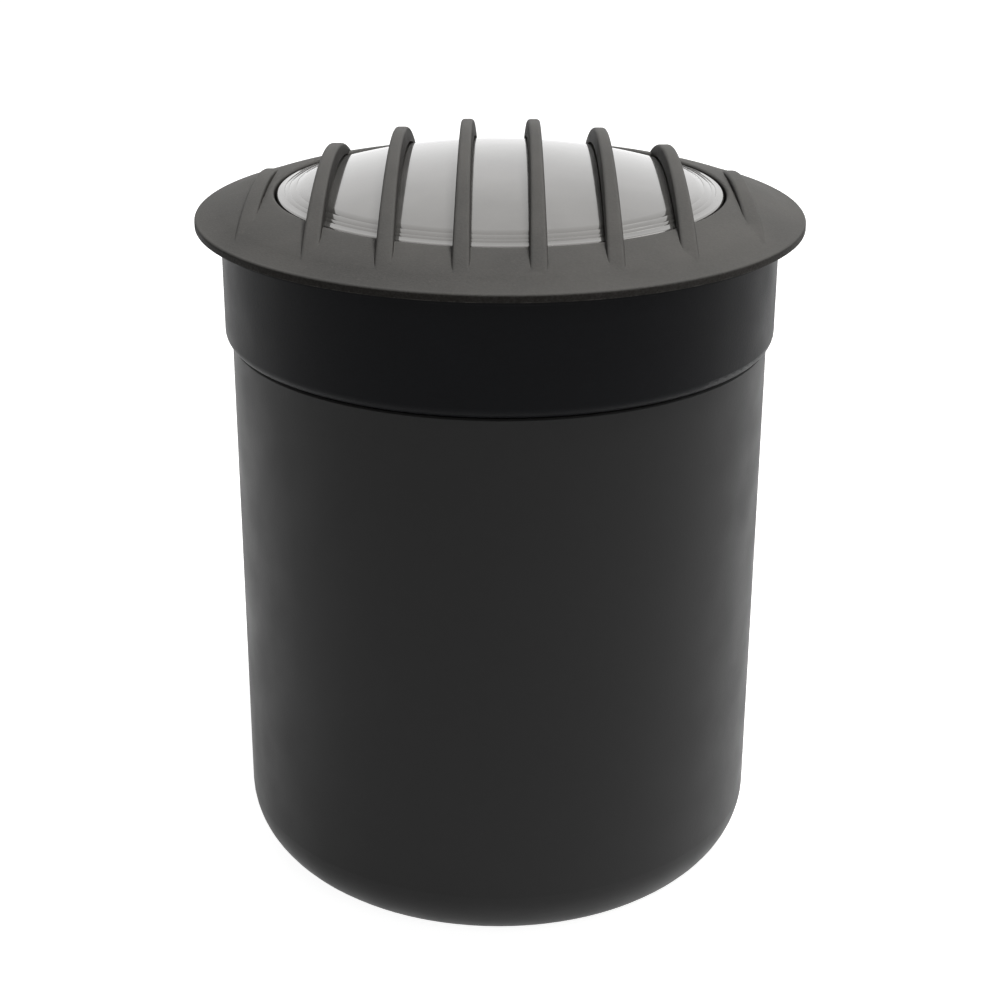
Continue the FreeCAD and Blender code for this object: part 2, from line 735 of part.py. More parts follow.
def terminal_block():
    bottom = strap_bottom - block_height
    left = block_place - block_length / 2
    block = Part.makeBox(block_length, block_width, block_height, V(left, -block_width / 2, bottom))
    way = block_length / block_ways
    for index in range(block_ways):
        x = left + way * (index + 0.5)
        wire_way = Part.makeCylinder(block_notch / 2, block_width,
                                     V(x, -block_width / 2, bottom + block_height / 2), ALONG_Y)
        block = block.cut(wire_way)
    for index in range(1, block_ways):
        slot = Part.makeBox(block_notch / 2, block_width, block_slot_depth,
                            V(left + way * index - block_notch / 4, -block_width / 2, bottom))
        block = block.cut(slot)
    for x in block_screw_places:
        pilot = Part.makeCylinder(block_screw_radius + fit_gap, block_screw_reach,
                                  V(x, 0, strap_bottom - block_screw_reach))
        block = block.cut(pilot)
    return block


def block_screws():
    reach = strap_thickness + block_screw_reach
    one = screw_down(block_screw_radius, reach, block_screw_head, block_screw_head_height)
    return [placed(one, x, 0, strap_top) for x in block_screw_places]


# ---------------------------------------------------------------- build
save("well_housing", well_housing())
save("neck_o_ring", neck_o_ring())
save("bridge_strap", bridge_strap())
save("bridge_screws", bridge_screws())
save("swivel_bolt", swivel_bolt())
save("swivel_spacer", swivel_spacer())
save("swivel_washer", swivel_washer())
save("swivel_lock_nut", swivel_lock_nut())
save("gland_body", gland_body())
save("gland_seal", gland_seal())
save("gland_cap", gland_cap())
save("gland_washer", gland_washer_ring())
save("gland_locknut", gland_locknut())
save("terminal_block", terminal_block())
save("terminal_block_screws", block_screws())
save("cover_grille", cover_grille())
save("lens", lens())
save("lens_upper_gasket", tube(lens_radius, aperture_radius, lens_flange_top, upper_gasket))
save("lens_lower_gasket", tube(lens_radius, lens_radius - gasket_band, plate_top, lower_gasket))
save("collar", collar())
save("head_screws", head_screws())
save("yoke_bracket", yoke_bracket())
save("lamp_holder_ring", lamp_holder_ring())
save("lamp_shell", lamp_shell())
save("lamp_face_lens", lamp_face_lens())
save("lamp_clips", lamp_clips())
save("clip_screws", clip_screws())
save("lamp_terminals", lamp_terminals())
save("left_tilt_knob", tilt_knob(-1))
save("right_tilt_knob", tilt_knob(1))
print("rim top", round(rim_top, 2), "crown", round(rib_crown, 2), "tilt axis", round(tilt_z, 2))
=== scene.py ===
# %% [markdown]
# # An in-ground well light, dressed in its finishes
# A well light is a lamp in a buried can. What shows above the soil is a cast cover with ribs over
# a glass dome. The solids come from the construction model, so this lesson makes what the eye
# reads: the light, the finishes, and the few forms that want finer rounds than construction does.

# %% Load the frame
import math

import bmesh
import bpy
from mathutils import Matrix, Vector


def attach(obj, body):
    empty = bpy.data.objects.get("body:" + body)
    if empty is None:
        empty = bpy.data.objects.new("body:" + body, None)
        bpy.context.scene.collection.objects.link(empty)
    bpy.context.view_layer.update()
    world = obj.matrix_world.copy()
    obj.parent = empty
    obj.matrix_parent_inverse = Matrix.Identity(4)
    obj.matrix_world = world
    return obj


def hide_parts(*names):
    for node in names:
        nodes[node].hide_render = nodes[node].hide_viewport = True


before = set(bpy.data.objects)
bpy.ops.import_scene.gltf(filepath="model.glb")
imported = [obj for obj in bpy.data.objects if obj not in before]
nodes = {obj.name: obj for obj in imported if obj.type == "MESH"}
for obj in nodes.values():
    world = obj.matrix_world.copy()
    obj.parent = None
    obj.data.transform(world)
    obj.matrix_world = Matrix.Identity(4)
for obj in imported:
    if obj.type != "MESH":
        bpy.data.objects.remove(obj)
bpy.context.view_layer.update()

MM = 0.001
scene = bpy.context.scene

# %% [markdown]
# ## The camera
# The photograph was taken a little above the rim. Its place, pitch and focal length were found by
# fitting circles of the known radii to the rims and edges seen in the photograph. The picture was
# cropped off its optical centre, and a small shift repeats that crop.

# %% Camera
IMAGE_WIDTH = 1000
IMAGE_HEIGHT = 999
SENSOR_MM = 36.0
RIM_TOP = 203.5 * MM
CAMERA_BACK = 551.8 * MM
CAMERA_ABOVE_RIM = 137.8 * MM
CAMERA_PITCH = 0.370
CAMERA_ROLL = 0.0047
FOCAL_PIXELS = 1920.1
OPTICAL_CENTRE = (499.06, 450.0)
NEAREST_SEEN = 0.01

camera = bpy.data.objects.new("camera", bpy.data.cameras.new("camera"))
scene.collection.objects.link(camera)
scene.camera = camera
camera.data.sensor_width = SENSOR_MM
camera.data.lens = FOCAL_PIXELS * SENSOR_MM / IMAGE_WIDTH
camera.data.shift_x = (IMAGE_WIDTH / 2 - OPTICAL_CENTRE[0]) / IMAGE_WIDTH
camera.data.shift_y = (OPTICAL_CENTRE[1] - IMAGE_HEIGHT / 2) / IMAGE_WIDTH
camera.data.clip_start = NEAREST_SEEN
place = Matrix.Translation((0, -CAMERA_BACK, RIM_TOP + CAMERA_ABOVE_RIM))
tilt = Matrix.Rotation(math.pi / 2 - CAMERA_PITCH, 4, "X")
camera.matrix_world = place @ tilt @ Matrix.Rotation(CAMERA_ROLL, 4, "Z")
print("lens in mm:", round(camera.data.lens, 2), "shift:", round(camera.data.shift_y, 4))

# %% [markdown]
# ## Small helpers for node trees
# A node tree is a graph, and most of the work in one is adding nodes and joining sockets. With
# these helpers each finish below reads as a short list of steps. Shader trees and geometry trees
# share the same maths nodes, so the helpers serve both.

# %% Helpers: nodes, links and maths
def add(tree, kind, **settings):
    """Adds a shader node and sets its properties."""
    node = tree.nodes.new("ShaderNode" + kind)
    for name, value in settings.items():
        setattr(node, name, value)
    return node


def feed(tree, socket, value):
    """Links an output to a socket, or sets a constant there."""
    if isinstance(value, bpy.types.NodeSocket):
        tree.links.new(value, socket)
    elif socket.type == "RGBA" and len(value) == 3:
        socket.default_value = (*value, 1.0)
    else:
        socket.default_value = value


def maths(tree, operation, first, second=0.5, clamp=False):
    node = add(tree, "Math", operation=operation, use_clamp=clamp)
    feed(tree, node.inputs[0], first)
    feed(tree, node.inputs[1], second)
    return node.outputs[0]


def spread(tree, value, low, high, to_low=0.0, to_high=1.0):
    """Maps a value from one range to another, without going past the ends."""
    node = add(tree, "MapRange")
    feed(tree, node.inputs["Value"], value)
    for name, number in (("From Min", low), ("From Max", high),
                         ("To Min", to_low), ("To Max", to_high)):
        feed(tree, node.inputs[name], number)
    return node.outputs[0]


print("maths nodes ready")

# %% Helpers: colours, patterns and materials
def blend_colours(tree, factor, first, second):
    node = add(tree, "Mix", data_type="RGBA")
    factor_socket, first_socket, second_socket = (node.inputs[i] for i in (0, 6, 7))
    feed(tree, factor_socket, factor)
    feed(tree, first_socket, first)
    feed(tree, second_socket, second)
    return node.outputs[2]


def noise(tree, vector, scale, detail=3.0, roughness=0.5):
    node = add(tree, "TexNoise")
    feed(tree, node.inputs["Vector"], vector)
    for name, number in (("Scale", scale), ("Detail", detail), ("Roughness", roughness)):
        feed(tree, node.inputs[name], number)
    return node.outputs[0]


def object_place(tree):
    return add(tree, "TexCoord").outputs["Object"]


def blank_material(name):
    material = bpy.data.materials.new(name)
    material.use_nodes = True
    material.node_tree.nodes.clear()
    return material, material.node_tree


def show(tree, shader):
    """Sends a shader to the material's surface."""
    feed(tree, add(tree, "OutputMaterial").inputs["Surface"], shader.outputs[0])


print("colour and pattern nodes ready")

# %% [markdown]
# ## Studio
# The photograph is a cut-out on pure white. More light would bleach the object, so the white comes
# from what a ray is: the floor glows, and the world is white, only for rays that the eye sees
# directly, in a reflection or through glass. All other rays find a plain studio, and the floor
# still takes the object's shadow.

# %% Floor
FLOOR_SIZE = 8.0
FLOOR_SCATTER = 0.62
FLOOR_GLOW = 0.925


def seen_by_eye(tree):
    """1 for rays that see the backdrop directly, in a reflection or through glass, else 0."""
    rays = add(tree, "LightPath").outputs
    seen = maths(tree, "MAXIMUM", rays["Is Camera Ray"], rays["Is Glossy Ray"])
    return maths(tree, "MAXIMUM", seen, rays["Is Transmission Ray"])


half = FLOOR_SIZE / 2
floor_mesh = bpy.data.meshes.new("floor")
floor_mesh.from_pydata([(-half, -half, 0), (half, -half, 0), (half, half, 0), (-half, half, 0)],
                       [], [(0, 1, 2, 3)])
floor = bpy.data.objects.new("floor", floor_mesh)
scene.collection.objects.link(floor)
floor_paint, floor_tree = blank_material("floor_white")
scatter = add(floor_tree, "BsdfDiffuse")
feed(floor_tree, scatter.inputs["Color"], (FLOOR_SCATTER,) * 3)
glow = add(floor_tree, "Emission")
glow_strength = maths(floor_tree, "MULTIPLY", seen_by_eye(floor_tree), FLOOR_GLOW)
feed(floor_tree, glow.inputs["Strength"], glow_strength)
both = add(floor_tree, "AddShader")
feed(floor_tree, both.inputs[0], scatter.outputs[0])
feed(floor_tree, both.inputs[1], glow.outputs[0])
show(floor_tree, both)
floor_mesh.materials.append(floor_paint)
print("floor size in m:", FLOOR_SIZE)

# %% World
WORLD_LIGHT = 0.12
WHITE = 1.0

scene.world = bpy.data.worlds.new("studio")
scene.world.use_nodes = True
sky = scene.world.node_tree
sky.nodes.clear()
backdrop = add(sky, "Background")
feed(sky, backdrop.inputs["Color"], (WHITE,) * 3)
strength = spread(sky, seen_by_eye(sky), low=0.0, high=1.0, to_low=WORLD_LIGHT, to_high=WHITE)
feed(sky, backdrop.inputs["Strength"], strength)
feed(sky, add(sky, "OutputWorld").inputs["Surface"], backdrop.outputs[0])
scene.view_settings.view_transform = "Standard"
print("world light:", WORLD_LIGHT)

# %% [markdown]
# ## Lamps
# The rib tops are light and their sides nearly black, so the main light is a small soft box high
# over the cover. Weak ones in front and behind keep the can readable. A large one at the right,
# the only one that reflections show, draws the light edge down the can. All aim at the cover.

# %% Lamps
AIM = Vector((0, 0, 0.17))


def soft_box(name, place, size, power, reflected):
    data = bpy.data.lights.new(name, "AREA")
    data.shape = "RECTANGLE"
    data.size, data.size_y = size
    data.energy = power
    box = bpy.data.objects.new(name, data)
    scene.collection.objects.link(box)
    box.location = place
    box.rotation_euler = (AIM - Vector(place)).to_track_quat("-Z", "Y").to_euler()
    box.visible_glossy = reflected


soft_box("right_box", place=(1.10, 0.0, 0.85), size=(0.8, 1.0), power=3.2, reflected=True)
soft_box("top_box", place=(0.40, -0.04, 1.28), size=(0.4, 0.4), power=15.5, reflected=False)
soft_box("front_box", place=(0.25, -1.25, 1.10), size=(0.8, 0.6), power=3.0, reflected=False)
soft_box("back_box", place=(-0.40, 1.35, 0.80), size=(1.2, 0.9), power=3.5, reflected=False)

# %% [markdown]
# ## Shared surface effects
# Grain, wear on the edges and dust turn up on many pieces, and the cover's steep sides get painted
# shade as well. Each could be drawn again in every material, but a node group is built once, and
# each material then places it with its own values. The groups put out masks and heights only; the
# shader stays in the material.

# %% Group helpers
def new_group(name, inputs, outputs):
    """A shader group with named sockets. Returns the tree, its input node and its output node."""
    tree = bpy.data.node_groups.new(name, "ShaderNodeTree")
    for title, kind, value in inputs:
        socket = tree.interface.new_socket(title, in_out="INPUT",
                                           socket_type="NodeSocket" + kind)
        if value is not None:
            socket.default_value = value
    for title, kind in outputs:
        tree.interface.new_socket(title, in_out="OUTPUT", socket_type="NodeSocket" + kind)
    return tree, tree.nodes.new("NodeGroupInput"), tree.nodes.new("NodeGroupOutput")


def use_group(tree, group, **values):
    """Places a group in a tree, feeds its inputs, and returns its outputs."""
    node = tree.nodes.new("ShaderNodeGroup")
    node.node_tree = group
    for name, value in values.items():
        feed(tree, node.inputs[name], value)
    return node.outputs


print("group helpers ready")

# %% [markdown]
# ### Grain
# A moulded or powder-coated skin is never flat. Under a magnifier it shows a fine orange peel, and
# from further off a faint cloudiness. Two noises of one family give both: the fine one is a height
# for the bump and a speckle in the colour, and the broad one varies both colour and roughness.

# %% Grain group
BROAD_SHARE = 0.06

grain, grain_in, grain_out = new_group(
    "fine_grain", [("Place", "Vector", None), ("Size", "Float", 900.0)],
    [("Height", "Float"), ("Mottle", "Float")])
given = grain_in.outputs
fine = noise(grain, given["Place"], given["Size"], detail=4.0, roughness=0.6)
broad_size = maths(grain, "MULTIPLY", given["Size"], BROAD_SHARE)
feed(grain, grain_out.inputs["Height"], fine)
feed(grain, grain_out.inputs["Mottle"], noise(grain, given["Place"], broad_size))
print("group:", grain.name)

# %% [markdown]
# ### Edge wear
# Paint thins first on outer edges. The Bevel node gives the normal that a rounded edge would have,
# and where that differs from the true normal there is an edge. A patchy noise breaks the line up,
# because wear is never even.

# %% Edge wear group
WEAR_RADIUS = 0.5 * MM

wear, wear_in, wear_out = new_group(
    "edge_wear", [("Place", "Vector", None), ("Amount", "Float", 0.5)], [("Mask", "Float")])
given = wear_in.outputs
rounded = add(wear, "Bevel", samples=4)
feed(wear, rounded.inputs["Radius"], WEAR_RADIUS)
agree = add(wear, "VectorMath", operation="DOT_PRODUCT")
feed(wear, agree.inputs[0], rounded.outputs[0])
feed(wear, agree.inputs[1], add(wear, "NewGeometry").outputs["Normal"])
edge_mask = spread(wear, agree.outputs["Value"], low=0.995, high=0.90)
patches = noise(wear, given["Place"], scale=260.0, detail=5.0, roughness=0.65)
edge_mask = maths(wear, "MULTIPLY", edge_mask, spread(wear, patches, low=0.42, high=0.62))
edge_mask = maths(wear, "MULTIPLY", edge_mask, given["Amount"], clamp=True)
feed(wear, wear_out.inputs["Mask"], edge_mask)
print("group:", wear.name)

# %% [markdown]
# ### Dust
# Dust settles where a face looks up. The upward part of the normal is the mask, and two noises
# give it a thin cloudy film with denser specks.

# %% Dust group
DUST_COLOUR = (0.42, 0.39, 0.35)


def upward_part(tree):
    parts = add(tree, "SeparateXYZ")
    feed(tree, parts.inputs[0], add(tree, "NewGeometry").outputs["Normal"])
    return parts.outputs["Z"]


dust, dust_in, dust_out = new_group(
    "settled_dust", [("Place", "Vector", None), ("Amount", "Float", 0.2)], [("Mask", "Float")])
given = dust_in.outputs
upward = spread(dust, upward_part(dust), low=0.2, high=0.95)
specks = noise(dust, given["Place"], scale=700.0, detail=2.0, roughness=0.7)
specks = spread(dust, specks, low=0.60, high=0.72)
clouds = noise(dust, given["Place"], scale=30.0, detail=4.0)
clouds = spread(dust, clouds, low=0.35, high=0.75)
film = maths(dust, "MULTIPLY", upward, maths(dust, "MAXIMUM", specks, clouds))
film = maths(dust, "MULTIPLY", film, given["Amount"], clamp=True)
feed(dust, dust_out.inputs["Mask"], film)
print("group:", dust.name)

# %% [markdown]
# ### Painted shade on steep sides
# Light from above leaves a cover's steep sides nearly black, and this group paints that shade into
# the colour. Two paints on two sets of faces would show a hard border. The upward part of the
# normal, taken without its sign, finds the same faces with a soft border, and a fine noise keeps
# the painted shade from being even.

# %% Painted shade group for steep sides
PAINTED_SHADE_AMOUNT = 0.9

painted_shade_group, painted_shade_in, painted_shade_out = new_group(
    "steep_sides", [("Place", "Vector", None)], [("Mask", "Float")])
levelness = maths(painted_shade_group, "ABSOLUTE", upward_part(painted_shade_group))
# Painted shade: the more a face stands upright, the darker it is painted, as if lit only from
# above.
steep_shade = spread(painted_shade_group, levelness, low=0.80, high=0.35)
shade_noise = noise(painted_shade_group, painted_shade_in.outputs["Place"], scale=1400.0, detail=4.0, roughness=0.7)
shade_noise = spread(painted_shade_group, shade_noise, low=0.30, high=0.70, to_low=1.15, to_high=0.75)
steep_shade = maths(painted_shade_group, "MULTIPLY", steep_shade, shade_noise)
steep_shade = maths(painted_shade_group, "MULTIPLY", steep_shade, PAINTED_SHADE_AMOUNT, clamp=True)
feed(painted_shade_group, painted_shade_out.inputs["Mask"], steep_shade)
print("group:", painted_shade_group.name)

# %% [markdown]
# ## A finish in one call
# Every opaque finish has the same make-up: a colour that varies a little, a roughness that varies
# with it, grain in the normal, wear on the edges and some dust. The function below builds that
# tree in each material with the material's own numbers, so a finish is one line of values.

# %% Bump and dress helpers
def bump(tree, height, depth):
    """A normal that follows a height pattern. The depth is in metres."""
    node = add(tree, "Bump")
    for name, value in (("Height", height), ("Strength", 1.0), ("Distance", depth)):
        feed(tree, node.inputs[name], value)
    return node.outputs[0]


def dress(material, *names):
    """Gives CAD nodes a finish."""
    for name in names:
        nodes[name].data.materials.clear()
        nodes[name].data.materials.append(material)


print("bump and dress helpers ready")

# %% Finish helper
MIDDLE = {"low": 0.3, "high": 0.7}
ROUGHNESS_SWING = 0.04
DUST_ROUGHNESS = 0.3


def finish(name, colour, roughness, metallic=0.0, specular=0.5, grain_size=900.0,
           grain_height=0.05, mottle=0.15, speckle=0.2, worn=None, wear_amount=0.0,
           dust_amount=0.05, painted_shade_colour=None):
    """An opaque finish. Grain size is a pattern scale, and grain height is in millimetres."""
    material, tree = blank_material(name)
    place = object_place(tree)
    skin = use_group(tree, grain, Place=place, Size=grain_size)
    darker = tuple(channel * (1 - mottle) for channel in colour)
    lighter = tuple(min(1.0, channel * (1 + mottle)) for channel in colour)
    clouds = maths(tree, "MULTIPLY", spread(tree, skin["Mottle"], **MIDDLE), 1 - speckle)
    specks = maths(tree, "MULTIPLY", spread(tree, skin["Height"], **MIDDLE), speckle)
    paint = blend_colours(tree, maths(tree, "ADD", clouds, specks), darker, lighter)
    rough = spread(tree, skin["Mottle"], **MIDDLE, to_low=roughness - ROUGHNESS_SWING,
                   to_high=roughness + ROUGHNESS_SWING)
    # Painted shade: steep faces take a darker colour in place of the shade that light from above
    # leaves on them.
    if painted_shade_colour:
        painted_shade_mask = use_group(tree, painted_shade_group, Place=place)["Mask"]
        paint = blend_colours(tree, painted_shade_mask, paint, painted_shade_colour)
    if wear_amount > 0:
        worn_mask = use_group(tree, wear, Place=place, Amount=wear_amount)["Mask"]
        paint = blend_colours(tree, worn_mask, paint, worn)
    if dust_amount > 0:
        dust_mask = use_group(tree, dust, Place=place, Amount=dust_amount)["Mask"]
        paint = blend_colours(tree, dust_mask, paint, DUST_COLOUR)
        rough = maths(tree, "ADD", rough, maths(tree, "MULTIPLY", dust_mask, DUST_ROUGHNESS))
    shader = add(tree, "BsdfPrincipled")
    for socket, value in (("Base Color", paint), ("Roughness", rough), ("Metallic", metallic),
                          ("Specular IOR Level", specular),
                          ("Normal", bump(tree, skin["Height"], grain_height * MM))):
        feed(tree, shader.inputs[socket], value)
    show(tree, shader)
    return material


print("finish helper ready")

# %% [markdown]
# ## Geometry trees
# Round pieces and repeated pieces come from Geometry Nodes. A tree is a recipe with named inputs,
# so the same lathe makes the dome and the lamp's small parts, and a rib is drawn once and counted
# out. Each result is then turned into a plain mesh, which is what an exported model can hold.

# %% Recipe helpers
def new_recipe(name, inputs):
    """A geometry tree with named inputs. Returns the tree, its input node and its output node."""
    tree = bpy.data.node_groups.new(name, "GeometryNodeTree")
    tree.interface.new_socket("Outline", in_out="INPUT", socket_type="NodeSocketGeometry")
    tree.interface.new_socket("Geometry", in_out="OUTPUT", socket_type="NodeSocketGeometry")
    for title, kind in inputs + [("Finish", "Material")]:
        tree.interface.new_socket(title, in_out="INPUT", socket_type="NodeSocket" + kind)
    return tree, tree.nodes.new("NodeGroupInput"), tree.nodes.new("NodeGroupOutput")


def grow(tree, kind, links=(), **settings):
    """Adds a geometry node, sets its properties, and feeds its sockets in the order given."""
    node = tree.nodes.new(kind if "Node" in kind else "GeometryNode" + kind)
    for name, value in settings.items():
        setattr(node, name, value)
    for socket, value in links:
        feed(tree, node.inputs[socket], value)
    return node


def place_points(tree, shape, x, y, z):
    """Moves each point of a shape to a worked-out place."""
    where = grow(tree, "ShaderNodeCombineXYZ", [("X", x), ("Y", y), ("Z", z)]).outputs[0]
    return grow(tree, "SetPosition", [("Geometry", shape), ("Position", where)]).outputs[0]


def end_recipe(tree, shape, given, result):
    """Every recipe ends in real geometry that carries its finish."""
    real = grow(tree, "RealizeInstances", [("Geometry", shape)]).outputs[0]
    painted = grow(tree, "SetMaterial", [("Geometry", real), ("Material", given["Finish"])])
    feed(tree, result.inputs["Geometry"], painted.outputs[0])
    print("recipe:", tree.name, "nodes:", len(tree.nodes))


print("recipe helpers ready")

# %% [markdown]
# ## From a recipe to a piece
# The modifier's inputs are set by each socket's identifier, because two sockets may share a name.
# The evaluated object is copied to a plain mesh, and the modifier goes before the frame sees the
# piece. Doubles are merged first, and the normals recalculated after, so that all faces look out.

# %% Piece helper
DOUBLES_WITHIN = 1e-7


def clean_mesh(mesh, material):
    """Merges doubles, turns faces outwards and leaves one material."""
    work = bmesh.new()
    work.from_mesh(mesh)
    bmesh.ops.remove_doubles(work, verts=work.verts, dist=DOUBLES_WITHIN)
    bmesh.ops.recalc_face_normals(work, faces=work.faces)
    for face in work.faces:
        face.material_index = 0
    work.to_mesh(mesh)
    work.free()
    mesh.materials.clear()
    mesh.materials.append(material)


def make_piece(name, recipe, material, body, slot, outline=(), replaced=(), **values):
    """Runs a recipe on an outline and hands the frame the plain mesh."""
    draft = bpy.data.meshes.new(name + "_outline")
    draft.from_pydata([(radius, 0, height) for radius, height in outline],
                      [(i, i + 1) for i in range(len(outline) - 1)], [])
    piece = bpy.data.objects.new(name, draft)
    scene.collection.objects.link(piece)
    modifier = piece.modifiers.new("recipe", "NODES")
    modifier.node_group = recipe
    values["Finish"] = material
    for item in recipe.interface.items_tree:
        title = item.name.replace(" ", "_")
        if item.in_out == "INPUT" and title in values:
            modifier[item.identifier] = values[title]
    evaluated = piece.evaluated_get(bpy.context.evaluated_depsgraph_get())
    made = bpy.data.meshes.new_from_object(evaluated)
    piece.modifiers.remove(modifier)
    clean_mesh(made, material)
    made.name = name
    piece.data = made
    bpy.data.meshes.remove(draft)
    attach(piece, body)
    if replaced:
        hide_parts(*replaced)
    print(name, "faces:", len(made.polygons))


print("piece helper ready")

# %% [markdown]
# ## The lathe
# A round piece is its half outline, turned. The outline is a short path of points and arcs in
# radius and height. A grid then has one column for each point of the outline, and each row of the
# grid is one step of the turn. The turn runs clockwise, so that an outline drawn over the top from
# the inside out gives faces that look out.

# %% Outline helpers
ARC_STEPS = 8
BOW_STEPS = 12


def arc(center, radius, start, end):
    """Points of an arc, in degrees, as (radius, height)."""
    turns = [start + (end - start) * i / ARC_STEPS for i in range(ARC_STEPS + 1)]
    return [(center[0] + radius * math.cos(math.radians(turn)),
             center[1] + radius * math.sin(math.radians(turn))) for turn in turns]


def bow(start, end, rise):
    """A shallow curve between two points that stands off its chord by rise at the middle."""
    points = []
    for i in range(BOW_STEPS + 1):
        t = i / BOW_STEPS
        lift = 4 * rise * t * (1 - t)
        points.append((start[0] + (end[0] - start[0]) * t,
                       start[1] + (end[1] - start[1]) * t + lift))
    return points


print("an arc has", ARC_STEPS, "steps, a bow", BOW_STEPS)

# %% Lathe
SEAM_WITHIN = 1e-6


def lathe_shape(tree, outline, turns):
    """Grid whose columns follow an outline and whose rows go round the Z axis."""
    count = grow(tree, "AttributeDomainSize", [("Geometry", outline)]).outputs["Point Count"]
    rows = maths(tree, "ADD", turns, 1)
    grid = grow(tree, "MeshGrid", [("Vertices X", rows), ("Vertices Y", count)]).outputs["Mesh"]
    index = grow(tree, "InputIndex").outputs[0]
    column = maths(tree, "MODULO", index, count)
    row = maths(tree, "FLOOR", maths(tree, "DIVIDE", index, count))
    position = grow(tree, "InputPosition").outputs[0]
    point = grow(tree, "SampleIndex", data_type="FLOAT_VECTOR", domain="POINT")
    for socket, value in (("Geometry", outline), ("Value", position), ("Index", column)):
        feed(tree, point.inputs[socket], value)
    parts = grow(tree, "ShaderNodeSeparateXYZ", [(0, point.outputs[0])]).outputs
    angle = maths(tree, "MULTIPLY", maths(tree, "DIVIDE", row, turns), -math.tau)
    x = maths(tree, "MULTIPLY", parts["X"], maths(tree, "COSINE", angle))
    y = maths(tree, "MULTIPLY", parts["X"], maths(tree, "SINE", angle))
    turned = place_points(tree, grid, x, y, parts["Z"])
    return grow(tree, "MergeByDistance",
                [("Geometry", turned), ("Distance", SEAM_WITHIN)]).outputs[0]


def smooth_by_angle(tree, shape, degrees):
    """Shades a shape smooth, apart from edges that turn by more than an angle."""
    shape = grow(tree, "SetShadeSmooth", [("Geometry", shape), ("Shade Smooth", True)]).outputs[0]
    angle = grow(tree, "InputMeshEdgeAngle").outputs["Unsigned Angle"]
    gentle = maths(tree, "LESS_THAN", angle, math.radians(degrees))
    return grow(tree, "SetShadeSmooth", [("Geometry", shape), ("Shade Smooth", gentle)],
                domain="EDGE").outputs[0]


lathe, inlet, result = new_recipe("lathe", [("Turns", "Int")])
given = inlet.outputs
turned_shape = lathe_shape(lathe, given["Outline"], given["Turns"])
end_recipe(lathe, smooth_by_angle(lathe, turned_shape, degrees=35), given, result)

# %% [markdown]
# ## The ribbed cover
# The real cover is one casting: a dished brim with eight bars whose crests follow one big sphere
# over the lens. The bars have draft, so they are thicker at the foot, and their crests are round.
# It could be modelled by hand, but every part of it follows a rule, so a tree of named sizes is
# shorter, and a change of one size carries through.

# %% Sizes of the brim
COLLAR_TOP = 201.3 * MM
BRIM_TOP = 209.7 * MM
RIM_RADIUS = 89.0 * MM
RIM_ROUND = 0.8 * MM
APERTURE = 65.8 * MM
APERTURE_ROUND = 1.0 * MM
SHELF = 206.5 * MM
POCKET = 69.6 * MM
CHANNEL_INNER = 71.6 * MM
CHANNEL_OUTER = 82.0 * MM
CHANNEL_ROOF_INNER = 3.7 * MM
CHANNEL_ROOF_OUTER = 0.9 * MM
BEND_RADIUS = 81.0 * MM
BEND_RISE = 2.5 * MM
BRIM_SWELL = 0.35 * MM
BRIM_SAG = -0.15 * MM

edge_centre = (APERTURE + APERTURE_ROUND, BRIM_TOP - APERTURE_ROUND)
rim_centre = (RIM_RADIUS - RIM_ROUND, RIM_TOP - RIM_ROUND)
bend = (BEND_RADIUS, RIM_TOP + BEND_RISE)
brim_outline = [(APERTURE, SHELF)] + arc(edge_centre, APERTURE_ROUND, 180, 90)
brim_outline += bow(brim_outline[-1], bend, BRIM_SWELL)[1:]
brim_outline += bow(bend, (rim_centre[0], RIM_TOP), BRIM_SAG)[1:]
brim_outline += arc(rim_centre, RIM_ROUND, 90, 0)[1:]
brim_outline += [
    (RIM_RADIUS, COLLAR_TOP), (CHANNEL_OUTER, COLLAR_TOP),
    (CHANNEL_OUTER, COLLAR_TOP + CHANNEL_ROOF_OUTER),
    (CHANNEL_INNER, COLLAR_TOP + CHANNEL_ROOF_INNER),
    (CHANNEL_INNER, COLLAR_TOP), (POCKET, COLLAR_TOP), (POCKET, SHELF), (APERTURE, SHELF)]
print("points in the brim's outline:", len(brim_outline))

# %% Sizes of the ribs and bosses
RIB_COUNT = 8
RIB_SPACING = 20.07 * MM
RIB_END = 84.0 * MM
RIB_HALF_FOOT = 2.549 * MM
RIB_DRAFT = 0.032
RIB_ROUND = 1.0 * MM
RIB_STEPS = 90
CROWN_RADIUS = 165.43 * MM
CROWN_CENTRE = 61.47 * MM
OVER_LENS_RADIUS = 204.17 * MM
OVER_LENS_CENTRE = 16.83 * MM
BOSS_COUNT = 6
BOSS_PLACE = 74.6 * MM
BOSS_RADIUS = 3.6 * MM
BOSS_HEIGHT = 4.7 * MM
BOSS_SIDES = 24
COVER_TURNS = 240
print("ribs:", RIB_COUNT, "over a crown of radius mm:", CROWN_RADIUS / MM)

# %% Start the cover's recipe
cover_recipe, inlet, result = new_recipe("ribbed_cover", [
    ("Turns", "Int"), ("Ribs", "Int"), ("Rib Spacing", "Float"), ("Rib End", "Float"),
    ("Rib Steps", "Int"), ("Half Foot", "Float"), ("Draft", "Float"), ("Crest Round", "Float"),
    ("Crown Radius", "Float"), ("Crown Centre", "Float"), ("Under Radius", "Float"),
    ("Under Centre", "Float"), ("Foot Height", "Float"), ("Bosses", "Int"),
    ("Boss Place", "Float"), ("Boss Radius", "Float"), ("Boss Height", "Float"),
    ("Boss Bottom", "Float")])
tree = cover_recipe
size = inlet.outputs
brim = lathe_shape(tree, size["Outline"], size["Turns"])
print("the brim is a lathe inside the cover's own recipe")

# %% [markdown]
# ### Bars from a cylinder
# A bar is a closed tube of sections, and so is a cylinder. So each bar starts as a cylinder
# primitive with many rings, made once and repeated on a line of points. A point's index tells
# which bar it is on, which ring of the bar, and which step of the section, and that is all that is
# needed to put it in its place.

# %% Number the bars' points
CREST_STEPS = 5
SECTION_POINTS = 2 * CREST_STEPS + 4

